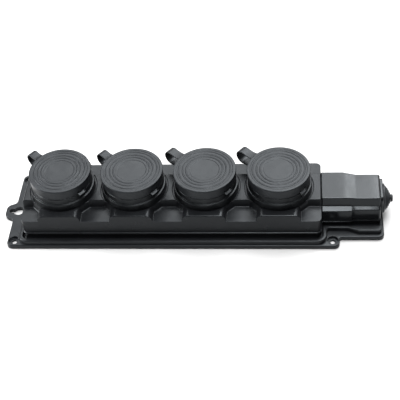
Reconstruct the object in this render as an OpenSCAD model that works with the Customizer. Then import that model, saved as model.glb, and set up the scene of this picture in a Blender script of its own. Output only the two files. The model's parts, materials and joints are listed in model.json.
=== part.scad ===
// Four-socket power distribution block with hinged round caps, on a flat wall plate.
// Origin: centre of the four wall holes, on the wall face. +X runs to the cable inlet,
// +Y to the strap side of the caps and +Z away from the wall.

/* [Base plate] */
// Length of the wide part of the plate
plate_len = 305.4; // [304:0.2:308]
// Width of the wide part of the plate
plate_w = 92; // [91:0.5:94]
// Thickness of the plate
plate_t = 4.5; // [4:0.5:5]
// X of the narrow tail's end, from the hole centre
tail_end = 192.4; // [192:0.2:194]
// Width of the narrow tail under the cable box
tail_w = 71; // [70:0.5:74]
// Radius of the plate's corners
plate_corner_r = 5; // [3:0.5:6]
// Distance between the wall holes along X
hole_span_x = 293; // [292:0.5:294]
// Distance between the wall holes along Y
hole_span_y = 78; // [77:0.5:79]
// Diameter of the wall holes
hole_d = 4.6; // [4:0.1:5]
// Diameter of the recess round each wall hole
hole_recess_d = 9.4; // [8.5:0.1:9.8]
// Width of the hanging slot's narrow end
slot_w = 4.5; // [4:0.1:5]
// Diameter of the hanging slot's wide end
slot_head_d = 9.6; // [9:0.1:10]

/* [Housing cover] */
// Length of the cover
cover_len = 272.8; // [272:0.2:274]
// Width of the cover
cover_w = 73.6; // [73:0.2:75]
// Height of the deck over the wall
deck_z = 33.9; // [33.5:0.1:34.5]
// Height of the low ledges between the sockets
ledge_z = 26.8; // [26:0.1:27.5]
// Width of the deck between the ledges
deck_w = 33; // [32:0.5:34]
// Thickness of the cover's walls
wall_t = 2.8; // [2.5:0.1:3]

/* [Sockets and caps] */
// Distance between neighbouring sockets
socket_pitch = 66.4; // [66:0.1:67]
// How far the row of sockets sits off the plate's centre
row_shift = -1; // [-1.5:0.5:0]
// Radius of the plug recess
recess_r = 19.6; // [19.4:0.1:19.8]
// Depth of the plug recess
recess_depth = 17.5; // [17:0.1:18]
// Distance between the two live contacts
contact_gap = 19; // [19:0.1:19.2]
// Radius of a cap
cap_r = 28.5; // [28:0.1:29]
// Height of a cap's face over the wall
cap_top_z = 56.1; // [56:0.1:56.5]
// Height of a cap's skirt
skirt_h = 9.6; // [9:0.1:10]
// Direction of the cap straps round each socket, from +X
strap_angle = 140; // [136:1:144]
// Distance from a socket's axis to its cap's hinge line
hinge_reach = 41; // [40:0.5:42]
// Height of the hinge lines over the wall
hinge_z = 47.7; // [47:0.1:48]

/* [Cable box] */
// Gap between the housing cover and the cable box
box_gap = 1; // [0.9:0.1:1.2]
// X of the box's outer end
box_end = 189.4; // [189:0.2:190]
// Height of the cable axis over the wall
cable_z = 17.9; // [17.5:0.1:18.2]
// Radius of the cable membrane's disc
membrane_r = 13.3; // [13:0.1:13.4]

/* [Hidden] */
$fn = 96;
eps = 0.1;
fit_gap = 0.1;

socket_xs = [for (i = [0:3]) row_shift + (i - 1.5) * socket_pitch];
notch_xs = [for (i = [0:4]) row_shift + (i - 2) * socket_pitch];

// raised parts of the plate
rim_z = 8.5;
rim_len = 283;
rim_w = 88.8;
rim_t = 3.9;
rim_corner_r = 8.5;
box_rim_w = [55.4, 63];
box_rim_steps_at = [160, 170];
box_rim_end = tail_end - 2;
box_rim_in = 24.4;
inlet_play = 0.4;
ear_x = -154;
ear_y = -2;
ear_r = 7.6;
slot_end_x = -156;
slot_head_x = -149.2;
seat_z = 8.8;
seat_t = 3;
seat_inset = 0.6;
hole_recess_depth = 2.5;
insert_post_r = 4;
clamp_post_r = 2.8;
post_hole_floor_z = 7;

// housing cover
cover_z = 11;
cover_corner_r = 4.5;
lip_out = 0.8;
lip_h = 1.2;
deck_t = 3;
notch_half_w = 13.6;
notch_back_half_w = 6.7;
notch_side_y = -25.3;
notch_back_y = -18.5;
notch_lean = 2.4;
collar_r = 25.4;
ring_seat_r = 31.2;
ring_seat_depth = 1.2;
flange_r = 28.5;
flange_t = 2.8;

// screws that hold both covers from the back
screw_r = 1.6;
screw_head_r = 3;
screw_head_h = 2.2;
screw_sink = 2.6;
cover_screw_len = 18;
box_screw_len = 14;
drive_r_share = 0.42;
drive_depth_share = 0.6;
boss_r = 3.6;
cover_screws_at = [for (x = [-128.5, row_shift, 127], y = [-29.5, 29.5]) [x, y]];
box_screws_at = [[143.6, -15.6], [143.6, 15.6], [182.4, -13.8], [182.4, 13.8]];
box_boss_r = 2.8;

// conductors
bar_top_z = 20;
bar_t = 1;
bar_w = 6;
earth_bar_w = 10;
bar_end_x = 157;
contact_y = contact_gap / 2;
sleeve_r = 3.4;
sleeve_bore_r = 2.45;
sleeve_top_z = 32;
insert_screw_r = 1.6;
insert_screw_len = 25;
insert_head_r = 3.2;
insert_head_h = 1.9;

// sockets and caps
collar_top_z = 51.5;
recess_z = collar_top_z - recess_depth;
clip_x = 18;
clip_t = 0.8;
clip_w = 7;
ring_r = 27.7;
ring_base_r = 29.8;
ring_base_top_z = 40;
ring_step = 0.5;
skirt_z = cap_top_z - skirt_h;
skirt_in_r = 26.3;
lid_t = 3.1;
groove_rs = [13.1, 16.6, 19.8, 23.4];
strap_w = 8.4;
strap_t = 1.3;
strap_bend_r = 6.4;

// latch opposite the strap: a lug on the ring in a window of the skirt, over a shelf with one raised end
latch_angle = strap_angle - 180;
window_w = 8.4;
window_h = 2.8;
shelf_w = 7.8;
shelf_r = 29.3;
shelf_t = 1;
shelf_end_z = 47;
sill_drop = 1.7;
lug_w = 4;

// cable box
box_start = cover_len / 2 + box_gap;
box_z = 9.3;
box_seat_w = 40;
box_seat_t = 1.5;
box_gasket_t = 1.5;
box_drop = 0.7;
box_slope_x = [156, 168];
box_step_x = [158, 166];
box_foot_half_w = [22, 20.2];
box_back_out = 2.8;
box_room_half_w = 17;
box_room_h = 12;
box_loft_half_w = 13.2;
sleeve_wall = 1;
inlet_r = 8.4;
cone_len = 9.2;
cone_steps = 5;
cone_wall = 1.6;
cone_r = 11.8;
cone_fall = 0.75;
cone_curve = 0.22;
cone_tip_r = 3.6;
inlet_frame_t = 2.4;
inlet_frame_w = 28;
inlet_frame_h = 26.4;
block_x = [150, 171];
block_screws_x = [154, 166];
block_half_w = 13.7;
block_z = 25;
port_r = 2.2;
port_depth = 9;
block_screw_r = 1.5;
clamp_x = 176.6;
clamp_size = [6, 24, 7];
clamp_bore_r = 5;
clamp_screw_y = 9;
clamp_screw_r = 1.25;
clamp_screw_len = 16;
clamp_head_r = 2.6;
clamp_head_h = 2;

// ---------- shared shapes ----------

// A rectangle with true arcs at its corners, from its low corner to its high corner
module round_rect(low, high, r) {
    translate([low.x + r, low.y]) square([high.x - low.x - 2 * r, high.y - low.y]);
    translate([low.x, low.y + r]) square([high.x - low.x, high.y - low.y - 2 * r]);
    for (x = [low.x + r, high.x - r], y = [low.y + r, high.y - r])
        translate([x, y]) circle(r);
}

// The same rectangle centred on the origin
module centred_round_rect(len, w, r) {
    round_rect([-len / 2, -w / 2], [len / 2, w / 2], r);
}

module tube(outer_r, inner_r, low_z, high_z) {
    translate([0, 0, low_z]) difference() {
        cylinder(r = outer_r, h = high_z - low_z);
        translate([0, 0, -eps]) cylinder(r = inner_r, h = high_z - low_z + 2 * eps);
    }
}

// A closed solid through rings of points that run clockwise as seen from the last ring's side
module loft(rings) {
    count = len(rings[0]);
    last = len(rings) - 1;
    sides = [
        for (k = [0:last - 1], i = [0:count - 1], half = [0, 1])
            let (j = (i + 1) % count, a = k * count, b = a + count)
            half == 0 ? [a + i, a + j, b + j] : [a + i, b + j, b + i]
    ];
    start_face = [for (i = [count - 1:-1:0]) i];
    end_face = [for (i = [0:count - 1]) last * count + i];
    polyhedron(
        points = [for (ring = rings) each ring],
        faces = concat(sides, [start_face], [end_face])
    );
}

// A screw along +Z with its head's underside at z = 0
module screw(head_r, head_h, shaft_r, shaft_len) {
    translate([0, 0, -head_h]) difference() {
        cylinder(r = head_r, h = head_h);
        translate([0, 0, -eps]) cylinder(r = head_r * drive_r_share, h = head_h * drive_depth_share, $fn = 6);
    }
    cylinder(r = shaft_r, h = shaft_len);
}

module at_socket(i) {
    translate([socket_xs[i], 0, 0]) children();
}

module at_points(points) {
    for (p = points) translate([p.x, p.y, 0]) children();
}

// ---------- base plate ----------

module plate_outline() {
    centred_round_rect(plate_len, plate_w, plate_corner_r);
    round_rect([plate_len / 2 - 3 * plate_corner_r, -tail_w / 2], [tail_end, tail_w / 2], plate_corner_r);
    translate([ear_x, ear_y]) circle(ear_r);
    translate([ear_x, ear_y - ear_r]) square([2 * ear_r, 2 * ear_r]);
}

module rim_outline() {
    centred_round_rect(rim_len, rim_w, rim_corner_r);
    for (side = [0, 1]) mirror([0, side]) polygon([
        [block_x[0] - 30, 0], [block_x[0] - 30, box_rim_w[0] / 2],
        [box_rim_steps_at[0], box_rim_w[0] / 2], [box_rim_steps_at[1], box_rim_w[1] / 2],
        [box_rim_end, box_rim_w[1] / 2], [box_rim_end, 0]
    ]);
}

module rim_inside() {
    inlet_half_w = inlet_frame_w / 2 + inlet_play;
    centred_round_rect(rim_len - 2 * rim_t, rim_w - 2 * rim_t, rim_corner_r - rim_t + 0.4);
    translate([block_x[0] - 30, -box_rim_in]) square([box_end - 1 - block_x[0] + 30, 2 * box_rim_in]);
    translate([block_x[1], -inlet_half_w]) square([tail_end - block_x[1], 2 * inlet_half_w]);
}

module seat_ring() {
    len = cover_len - 2 * seat_inset;
    w = cover_w - 2 * seat_inset;
    difference() {
        centred_round_rect(len, w, cover_corner_r - 0.5);
        centred_round_rect(len - 2 * seat_t, w - 2 * seat_t, 2);
    }
}

module box_seat_ring() {
    low = [box_start + 1, -box_seat_w / 2];
    high = [box_end - 1.2, box_seat_w / 2];
    inset = [box_seat_t, box_seat_t];
    difference() {
        round_rect(low, high, 2.2);
        round_rect(low + inset, high - inset, 0.8);
    }
}

module base_plate() {
    color([0.09, 0.09, 0.10]) difference() {
        union() {
            linear_extrude(plate_t) plate_outline();
            translate([0, 0, plate_t - eps]) linear_extrude(rim_z - plate_t + eps) difference() {
                rim_outline();
                rim_inside();
            }
            translate([0, 0, plate_t - eps]) linear_extrude(seat_z - plate_t + eps)
                seat_ring();
            translate([0, 0, plate_t - eps]) linear_extrude(box_z - box_gasket_t - plate_t + eps)
                box_seat_ring();
            at_points([for (x = socket_xs) [x, 0]]) cylinder(r = insert_post_r, h = bar_top_z - bar_t);
            at_points([for (y = [-clamp_screw_y, clamp_screw_y]) [clamp_x, y]])
                cylinder(r = clamp_post_r, h = cable_z);
            at_points(cover_screws_at) cylinder(r = boss_r, h = cover_z);
            at_points(box_screws_at) cylinder(r = box_boss_r, h = box_z);
        }
        for (x = [-1, 1], y = [-1, 1])
            translate([x * hole_span_x / 2, y * hole_span_y / 2, 0]) {
                translate([0, 0, -eps]) cylinder(d = hole_d, h = plate_t + 2 * eps);
                translate([0, 0, plate_t - hole_recess_depth])
                    cylinder(d = hole_recess_d, h = hole_recess_depth + eps);
            }
        hanging_slot();
        at_points([for (x = socket_xs) [x, 0]])
            translate([0, 0, post_hole_floor_z]) cylinder(r = insert_screw_r + fit_gap, h = bar_top_z);
        at_points([for (y = [-clamp_screw_y, clamp_screw_y]) [clamp_x, y]])
            translate([0, 0, post_hole_floor_z]) cylinder(r = clamp_screw_r + fit_gap / 2, h = cable_z);
        at_points(concat(cover_screws_at, box_screws_at)) {
            translate([0, 0, -eps]) cylinder(r = screw_r + fit_gap, h = 2 * cover_z);
            translate([0, 0, -eps]) cylinder(r = screw_head_r + 2 * fit_gap, h = screw_sink + eps);
        }
    }
}

module hanging_slot() {
    translate([0, ear_y, -eps]) linear_extrude(plate_t + 2 * eps) {
        translate([slot_end_x, 0]) circle(d = slot_w);
        translate([slot_end_x, -slot_w / 2]) square([slot_head_x - slot_end_x, slot_w]);
        translate([slot_head_x, 0]) circle(d = slot_head_d);
    }
}

// ---------- gaskets and covers ----------

module base_gasket() {
    color([0.16, 0.16, 0.16]) translate([0, 0, seat_z]) linear_extrude(cover_z - seat_z)
        seat_ring();
}

// Outline of a low ledge, grown outwards by lean on its sides and by the same on its back
function notch_ring(lean, z) =
    let (back = notch_back_y + 0.9 * lean, side = notch_side_y + 0.9 * lean)
    let (wide = notch_half_w + lean, narrow = notch_back_half_w + lean / 2)
    [
        [-wide, -cover_w, z], [-wide, side, z], [-narrow, back, z],
        [narrow, back, z], [wide, side, z], [wide, -cover_w, z]
    ];

// One low ledge cut into the front edge, wider at the top than at its floor
module notch() {
    loft([notch_ring(0, 0), notch_ring(notch_lean, deck_z - ledge_z + eps)]);
}

module housing_cover() {
    inner_len = cover_len - 2 * wall_t;
    inner_w = cover_w - 2 * wall_t;
    roof_z = deck_z - deck_t;
    color([0.10, 0.10, 0.11]) difference() {
        union() {
            difference() {
                union() {
                    translate([0, 0, cover_z]) linear_extrude(deck_z - cover_z)
                        centred_round_rect(cover_len, cover_w, cover_corner_r);
                    translate([0, 0, cover_z]) linear_extrude(lip_h)
                        centred_round_rect(cover_len + 2 * lip_out, cover_w + 2 * lip_out, cover_corner_r);
                }
                translate([0, 0, cover_z - eps]) linear_extrude(ledge_z - wall_t - cover_z + eps)
                    centred_round_rect(inner_len, inner_w, 2);
                translate([-inner_len / 2, -deck_w / 2 + wall_t, cover_z])
                    cube([inner_len, deck_w - 2 * wall_t, roof_z - cover_z]);
                for (i = [0:3]) at_socket(i)
                    translate([0, 0, cover_z]) cylinder(r = flange_r + fit_gap, h = roof_z - cover_z);
                for (x = notch_xs, side = [0, 1])
                    mirror([0, side, 0]) translate([x, 0, ledge_z]) notch();
            }
            at_points(cover_screws_at) translate([0, 0, cover_z])
                cylinder(r = boss_r, h = ledge_z - cover_z - eps);
        }
        for (i = [0:3]) at_socket(i) {
            translate([0, 0, cover_z]) cylinder(r = collar_r + fit_gap, h = deck_z);
            translate([0, 0, deck_z - ring_seat_depth]) cylinder(r = ring_seat_r, h = deck_z);
        }
        at_points(cover_screws_at) translate([0, 0, cover_z - eps])
            cylinder(r = screw_r + fit_gap / 2, h = 11);
        translate([inner_len / 2 - 1, -block_half_w, bar_top_z - bar_t - 1])
            cube([wall_t + 3, 2 * block_half_w, bar_t + 2]);
    }
}

module cover_screws() {
    color("silver") at_points(cover_screws_at)
        translate([0, 0, screw_sink]) screw(screw_head_r, screw_head_h, screw_r, cover_screw_len);
}

// Right halves of the end views of the box's two tiers, each from its low edge to its high one
function low_tier(foot_w) = [
    [foot_w, 0], [foot_w - 0.4, 11], [foot_w - 1, 13.4], [foot_w - 2.6, 14.8], [16, 15.4]
];

function high_tier(top_z) = [
    [16.6, 11], [16.6, 15.6], [15.3, top_z - box_z - 0.8], [14.7, top_z - box_z]
];

// End view at x, whose back half sits further out by back_out
function box_ring(x, half, back_out = 0) =
    let (n = len(half))
    concat(
        [for (p = half) [x, -p.x, box_z + p.y]],
        [for (i = [n - 1:-1:0]) [x, half[i].x + back_out, box_z + half[i].y]]
    );

module box_tiers() {
    foot = [for (w = box_foot_half_w) low_tier(w)];
    roof = [high_tier(deck_z), high_tier(deck_z - box_drop)];
    loft([
        box_ring(box_start, foot[0]), box_ring(box_step_x[0], foot[0]),
        box_ring(box_step_x[1], foot[1]), box_ring(box_end, foot[1])
    ]);
    loft([
        box_ring(box_start, roof[0], box_back_out), box_ring(box_slope_x[0], roof[0], box_back_out),
        box_ring(box_slope_x[1], roof[1]), box_ring(box_end, roof[1])
    ]);
}

// Closes the gap to the housing cover round the conductors that cross it
module box_sleeve() {
    translate([box_start - box_gap, -block_half_w - sleeve_wall, bar_top_z - bar_t - 1 - sleeve_wall])
        cube([box_gap + eps, 2 * (block_half_w + sleeve_wall), bar_t + 2 + 2 * sleeve_wall]);
}

module cable_box() {
    color([0.11, 0.11, 0.12]) difference() {
        union() {
            intersection() {
                box_tiers();
                linear_extrude(2 * deck_z) round_rect([box_start, -26], [box_end, 26], 2.2);
            }
            box_sleeve();
        }
        difference() {
            union() {
                translate([box_start + wall_t, -box_room_half_w, box_z - eps])
                    cube([box_end - box_start - 2 * wall_t, 2 * box_room_half_w, box_room_h]);
                translate([box_start + wall_t, -box_loft_half_w, box_z])
                    cube([box_end - box_start - 2 * wall_t, 2 * box_loft_half_w, deck_z - deck_t - box_z]);
                translate([box_start - box_gap - eps, -block_half_w, bar_top_z - bar_t - 1])
                    cube([box_gap + wall_t + 1, 2 * block_half_w, bar_t + 2]);
                translate([box_start + wall_t, -block_half_w - fit_gap, box_z])
                    cube([block_x[1] - box_start, 2 * block_half_w + 2 * fit_gap, block_z - box_z + 0.5]);
            }
            at_points(box_screws_at) cylinder(r = box_boss_r, h = 2 * deck_z);
        }
        at_points(box_screws_at) translate([0, 0, box_z - eps])
            cylinder(r = screw_r + fit_gap / 2, h = 9);
        translate([box_end - 2 * wall_t, 0, cable_z]) rotate([0, 90, 0])
            cylinder(r = inlet_r, h = 3 * wall_t);
    }
}

module box_gasket() {
    color([0.16, 0.16, 0.16]) translate([0, 0, box_z - box_gasket_t])
        linear_extrude(box_gasket_t) box_seat_ring();
}

module box_screws() {
    color("silver") at_points(box_screws_at)
        translate([0, 0, screw_sink]) screw(screw_head_r, screw_head_h, screw_r, box_screw_len);
}

// ---------- cable inlet ----------

module inlet_frame() {
    color([0.12, 0.12, 0.12]) translate([box_end, 0, cable_z]) rotate([90, 0, 90]) linear_extrude(inlet_frame_t)
        difference() {
            centred_round_rect(inlet_frame_w, inlet_frame_h, 4);
            circle(r = inlet_r);
        }
}

// Radius of each step of the membrane, which falls faster towards the tip
function cone_step_r(i) = cone_r - (cone_fall + cone_curve * i) * i;

// Stepped rubber cone with a closed tip, a neck through the wall and a lip inside
module cable_membrane() {
    cone_base = box_end + inlet_frame_t;
    tip_x = cone_base + cone_len;
    inner_x = box_end - wall_t;
    neck_in_r = inlet_r - cone_wall;
    step_len = (cone_len - 2) / cone_steps;
    outer = [
        for (i = [0:cone_steps - 1], side = [0, 1])
            [cone_step_r(i), cone_base + cone_wall + (i + side) * step_len]
    ];
    inner = [
        for (i = [cone_steps - 1:-1:0]) [cone_step_r(i) - cone_wall, cone_base + 1.2 + i * step_len]
    ];
    profile = concat(
        [[membrane_r, cone_base], [membrane_r, cone_base + cone_wall]],
        outer,
        [[cone_tip_r, tip_x - 0.4], [cone_tip_r, tip_x], [0, tip_x]],
        [[0, tip_x - 2.2]],
        inner,
        [[neck_in_r, cone_base], [neck_in_r, inner_x - cone_wall]],
        [[inlet_r + 1, inner_x - cone_wall], [inlet_r + 1, inner_x]],
        [[inlet_r - fit_gap, inner_x], [inlet_r - fit_gap, cone_base]]
    );
    color([0.14, 0.14, 0.14]) translate([0, 0, cable_z]) rotate([0, 90, 0])
        rotate_extrude() polygon(profile);
}

module cable_clamp() {
    color([0.2, 0.2, 0.2]) translate([clamp_x, 0, cable_z]) difference() {
        translate([-clamp_size.x / 2, -clamp_size.y / 2, 0]) cube(clamp_size);
        rotate([0, 90, 0]) translate([0, 0, -clamp_size.x]) cylinder(r = clamp_bore_r, h = 2 * clamp_size.x);
        for (y = [-clamp_screw_y, clamp_screw_y])
            translate([0, y, -eps]) cylinder(r = screw_r, h = clamp_size.z + 2 * eps);
    }
}

module clamp_screws() {
    color("silver") for (y = [-clamp_screw_y, clamp_screw_y])
        translate([clamp_x, y, cable_z + clamp_size.z]) mirror([0, 0, 1])
            screw(clamp_head_r, clamp_head_h, clamp_screw_r, clamp_screw_len);
}

module terminal_block() {
    ports = [-contact_y, 0, contact_y];
    color([0.85, 0.85, 0.8]) difference() {
        translate([block_x[0], -block_half_w, plate_t])
            cube([block_x[1] - block_x[0], 2 * block_half_w, block_z - plate_t]);
        translate([block_x[0] - eps, -block_half_w + 0.6, bar_top_z - bar_t - fit_gap])
            cube([bar_end_x - block_x[0] + 1, 2 * block_half_w - 1.2, bar_t + 2 * fit_gap]);
        for (y = ports) {
            translate([block_x[1] - port_depth, y, bar_top_z - 4]) rotate([0, 90, 0])
                cylinder(r = port_r, h = port_depth + 1);
            for (x = block_screws_x)
                translate([x, y, bar_top_z - 4]) cylinder(r = block_screw_r + fit_gap, h = 10);
        }
    }
}

module terminal_screws() {
    bar_screw_len = block_z - bar_top_z - 2;
    wire_screw_len = bar_screw_len + 1.8;
    top_z = bar_top_z + bar_screw_len;
    color("silver") for (y = [-contact_y, 0, contact_y]) {
        translate([block_screws_x[0], y, top_z - bar_screw_len]) cylinder(r = block_screw_r, h = bar_screw_len);
        translate([block_screws_x[1], y, top_z - wire_screw_len]) cylinder(r = block_screw_r, h = wire_screw_len);
    }
}

// ---------- conductors ----------

module live_bar(y) {
    translate([socket_xs[0] - 6, y - bar_w / 2, bar_top_z - bar_t])
        cube([bar_end_x - socket_xs[0] + 6, bar_w, bar_t]);
}

module line_bar() {
    color("goldenrod") live_bar(contact_y);
}

module neutral_bar() {
    color("goldenrod") live_bar(-contact_y);
}

module earth_bar() {
    color("goldenrod") difference() {
        translate([socket_xs[0] - 6, -earth_bar_w / 2, bar_top_z - bar_t])
            cube([bar_end_x - socket_xs[0] + 6, earth_bar_w, bar_t]);
        at_points([for (x = socket_xs) [x, 0]])
            translate([0, 0, bar_top_z - 2]) cylinder(r = insert_screw_r + fit_gap, h = 4);
    }
}

// ---------- sockets ----------

module socket_insert(i) {
    color([0.13, 0.13, 0.14]) at_socket(i) difference() {
        union() {
            translate([0, 0, bar_top_z]) cylinder(r = 22, h = collar_top_z - bar_top_z);
            translate([0, 0, deck_z - deck_t - flange_t]) cylinder(r = flange_r, h = flange_t);
            translate([0, 0, deck_z - deck_t - eps])
                cylinder(r = collar_r, h = collar_top_z - deck_z + deck_t + eps);
        }
        difference() {
            translate([0, 0, recess_z]) cylinder(r = recess_r, h = recess_depth + eps);
            for (side = [-1, 1]) translate([-2.5, side * (recess_r - 0.4) - 1, recess_z - eps])
                cube([5, 2, recess_depth - 3]);
        }
        for (y = [-contact_y, contact_y]) translate([0, y, bar_top_z - eps]) {
            cylinder(r = sleeve_r + fit_gap, h = sleeve_top_z - bar_top_z + eps);
            cylinder(r = 2.7, h = recess_depth + eps);
        }
        translate([0, 0, bar_top_z - eps]) cylinder(r = insert_screw_r + fit_gap, h = recess_depth);
    }
}

module contact_sleeves(i) {
    color("gold") at_socket(i) for (y = [-contact_y, contact_y])
        translate([0, y, 0]) tube(sleeve_r, sleeve_bore_r, bar_top_z, sleeve_top_z);
}

// Floor strip with a screw hole and two upright spring arms that lean inwards near the top
module earth_clip(i) {
    arm = [
        [clip_x, 0], [clip_x + clip_t, 0], [clip_x + clip_t, 9], [clip_x - 0.6, 12],
        [clip_x + clip_t, 15.5], [clip_x, 15.5], [clip_x - 1.4, 12], [clip_x, 9]
    ];
    color("gold") at_socket(i) translate([0, 0, recess_z]) difference() {
        union() {
            translate([-clip_x - clip_t, -clip_w / 2, 0]) cube([2 * (clip_x + clip_t), clip_w, clip_t]);
            for (side = [0, 1]) mirror([side, 0, 0]) translate([0, clip_w / 2, 0])
                rotate([90, 0, 0]) linear_extrude(clip_w) polygon(arm);
        }
        translate([0, 0, -eps]) cylinder(r = insert_screw_r + fit_gap, h = 2);
    }
}

module insert_screws() {
    color("silver") at_points([for (x = socket_xs) [x, 0]])
        translate([0, 0, recess_z + clip_t]) mirror([0, 0, 1])
            screw(insert_head_r, insert_head_h, insert_screw_r, insert_screw_len);
}

// ---------- caps ----------

// Ring round the collar on a wide base, with the latch lug standing in a cut at its top edge
module strap_ring(i) {
    inner_r = collar_r + fit_gap / 2;
    step_z = skirt_z - 1.1;
    sill_z = skirt_z - sill_drop;
    color([0.12, 0.12, 0.12]) at_socket(i) {
        difference() {
            union() {
                tube(ring_base_r, inner_r, deck_z - ring_seat_depth, ring_base_top_z);
                tube(ring_r, inner_r, ring_base_top_z - eps, step_z);
                tube(ring_r - ring_step, inner_r, step_z - eps, skirt_z - 0.3);
            }
            rotate([0, 0, latch_angle]) translate([inner_r + 0.8, -window_w / 2, sill_z])
                cube([4, window_w, 4]);
        }
        rotate([0, 0, latch_angle]) translate([inner_r + 0.4, -lug_w / 2, sill_z - eps])
            cube([cap_r - inner_r - 1, lug_w, window_h + sill_drop - 0.6]);
        rotate([0, 0, latch_angle]) translate([ring_r - shelf_t, 0, sill_z - shelf_t]) {
            len = shelf_r - ring_r + shelf_t;
            translate([0, -shelf_w / 2, 0]) cube([len, shelf_w, shelf_t]);
            translate([0, shelf_w / 2 - shelf_t, 0]) cube([len, shelf_t, shelf_end_z - sill_z + shelf_t]);
        }
    }
}

// Flat band that leaves the cap's skirt, turns round the hinge line and returns to the ring
module strap(i) {
    outer_r = strap_bend_r + strap_t / 2;
    inner_r = strap_bend_r - strap_t / 2;
    color([0.13, 0.13, 0.13]) at_socket(i) rotate([0, 0, strap_angle])
        translate([hinge_reach, strap_w / 2, hinge_z]) rotate([90, 0, 0]) linear_extrude(strap_w) {
            difference() {
                circle(outer_r);
                circle(inner_r);
                translate([-2 * outer_r, -2 * outer_r]) square([2 * outer_r, 4 * outer_r]);
            }
            translate([cap_r - hinge_reach + fit_gap / 2, inner_r])
                square([hinge_reach - cap_r, strap_t]);
            translate([ring_r - hinge_reach + fit_gap / 2, -outer_r])
                square([hinge_reach - ring_r, strap_t]);
        }
}

// Cap with a skirt, shallow rings in its face and a latch window opposite the strap
module cap(i) {
    color([0.17, 0.17, 0.18]) at_socket(i) difference() {
        translate([0, 0, skirt_z]) cylinder(r = cap_r, h = skirt_h);
        translate([0, 0, skirt_z - eps]) cylinder(r = skirt_in_r, h = skirt_h - lid_t + eps);
        for (r = groove_rs) tube(r + 0.3, r - 0.3, cap_top_z - 0.4, cap_top_z + eps);
        rotate([0, 0, latch_angle]) translate([skirt_in_r - 1, -window_w / 2, skirt_z - eps])
            cube([4, window_w, window_h + eps]);
    }
}

module cap_seal(i) {
    color([0.2, 0.2, 0.2]) at_socket(i) tube(collar_r - 0.5, recess_r + 1, collar_top_z, cap_top_z - lid_t);
}

// ---------- assembly ----------

base_plate();
base_gasket();
housing_cover();
cover_screws();
cable_box();
box_gasket();
box_screws();
inlet_frame();
cable_membrane();
cable_clamp();
clamp_screws();
terminal_block();
terminal_screws();
line_bar();
neutral_bar();
earth_bar();
insert_screws();
for (i = [0:3]) {
    socket_insert(i);
    contact_sleeves(i);
    earth_clip(i);
    strap_ring(i);
    strap(i);
    cap(i);
    cap_seal(i);
}
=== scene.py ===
import json
import math

import bmesh
import bpy
from mathutils import Matrix, Vector
from mathutils.geometry import tessellate_polygon


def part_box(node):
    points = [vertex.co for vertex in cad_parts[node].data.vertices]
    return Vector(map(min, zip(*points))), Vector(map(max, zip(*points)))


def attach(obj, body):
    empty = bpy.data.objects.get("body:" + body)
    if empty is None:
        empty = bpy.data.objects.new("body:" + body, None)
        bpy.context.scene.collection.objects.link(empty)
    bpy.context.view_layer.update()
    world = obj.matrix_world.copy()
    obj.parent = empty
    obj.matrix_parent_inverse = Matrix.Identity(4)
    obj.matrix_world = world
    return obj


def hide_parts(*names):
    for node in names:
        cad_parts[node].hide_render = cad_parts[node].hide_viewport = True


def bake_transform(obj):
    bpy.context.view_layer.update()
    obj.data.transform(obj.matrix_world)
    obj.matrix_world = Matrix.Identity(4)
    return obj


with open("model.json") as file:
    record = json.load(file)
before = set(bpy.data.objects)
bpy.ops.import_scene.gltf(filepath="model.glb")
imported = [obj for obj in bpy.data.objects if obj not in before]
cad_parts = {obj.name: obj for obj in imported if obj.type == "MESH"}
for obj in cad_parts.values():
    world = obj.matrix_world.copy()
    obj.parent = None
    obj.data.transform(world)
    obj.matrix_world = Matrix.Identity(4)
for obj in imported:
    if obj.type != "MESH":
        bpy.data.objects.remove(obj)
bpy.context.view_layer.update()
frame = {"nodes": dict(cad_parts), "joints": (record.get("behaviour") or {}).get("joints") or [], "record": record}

# ---------- sizes, in millimetres ----------

MM = 0.001
BODY = "block"
SOCKETS = range(1, 5)
TURN_STEPS = 128
OVERLAP = 0.3


def node_box(node):
    low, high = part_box(node)
    return low / MM, high / MM


def mount(name):
    return next(m for m in frame["record"]["mounts"] if m["name"] == name)


plate_low, plate_high = node_box("base_plate")
cover_low, cover_high = node_box("housing_cover")
box_low, box_high = node_box("cable_box")
inlet_low, inlet_high = node_box("inlet_frame")
membrane_low, membrane_high = node_box("cable_membrane")
gasket_low, gasket_high = node_box("base_gasket")
box_gasket_low, box_gasket_high = node_box("box_gasket")
cap_low, cap_high = node_box("cap_1")
ring_low, ring_high = node_box("strap_ring_1")
holes = mount("wall_holes")["dims"]

socket_xs = [sum(v.x for v in node_box(f"cap_{i}")) / 2 for i in SOCKETS]
pitch = socket_xs[1] - socket_xs[0]
hinges = [Vector(joint["pos_m"]) / MM for joint in frame["joints"]]
hinge_z = hinges[0].z
hinge_reach = math.hypot(hinges[0].x - socket_xs[0], hinges[0].y)
strap_angle = math.atan2(hinges[0].y, hinges[0].x - socket_xs[0])
latch_angle = strap_angle - math.pi

# base plate
PLATE_T = 4.5
PLATE_HALF = Vector((152.7, (plate_high.y - plate_low.y) / 2))
TAIL_HALF_W = 35.5
TAIL_END = 192.4
RECESS_R = 4.7
RECESS_H = 2.5
EAR_Y = -2
SLOT_END_X = -156
SLOT_HEAD_X = -149.2
SLOT_R = 2.25
SLOT_HEAD_R = 4.8
SCREW_R = 1.7
SCREW_HEAD_R = 3
SCREW_HEAD_H = 2.6
BOX_SCREW_FAR_Y = 13.8
RIM_Z = 8.5
RIM_HALF = Vector((141.5, 44.4))
RIM_T = 3.9
RIM_ROUND_R = 1.1
COVER_SEAT_T = 3
COVER_SEAT_R = 3.8
BOX_SEAT_T = 1.5
BOX_SEAT_R = 2.2
BOX_RIM_STEP = ((160, 27.7), (170, 31.5))
BOX_RIM_END = 190.4
BOX_RIM_IN = (188.4, 24.4)
INLET_HALF_W = 14.4

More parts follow.
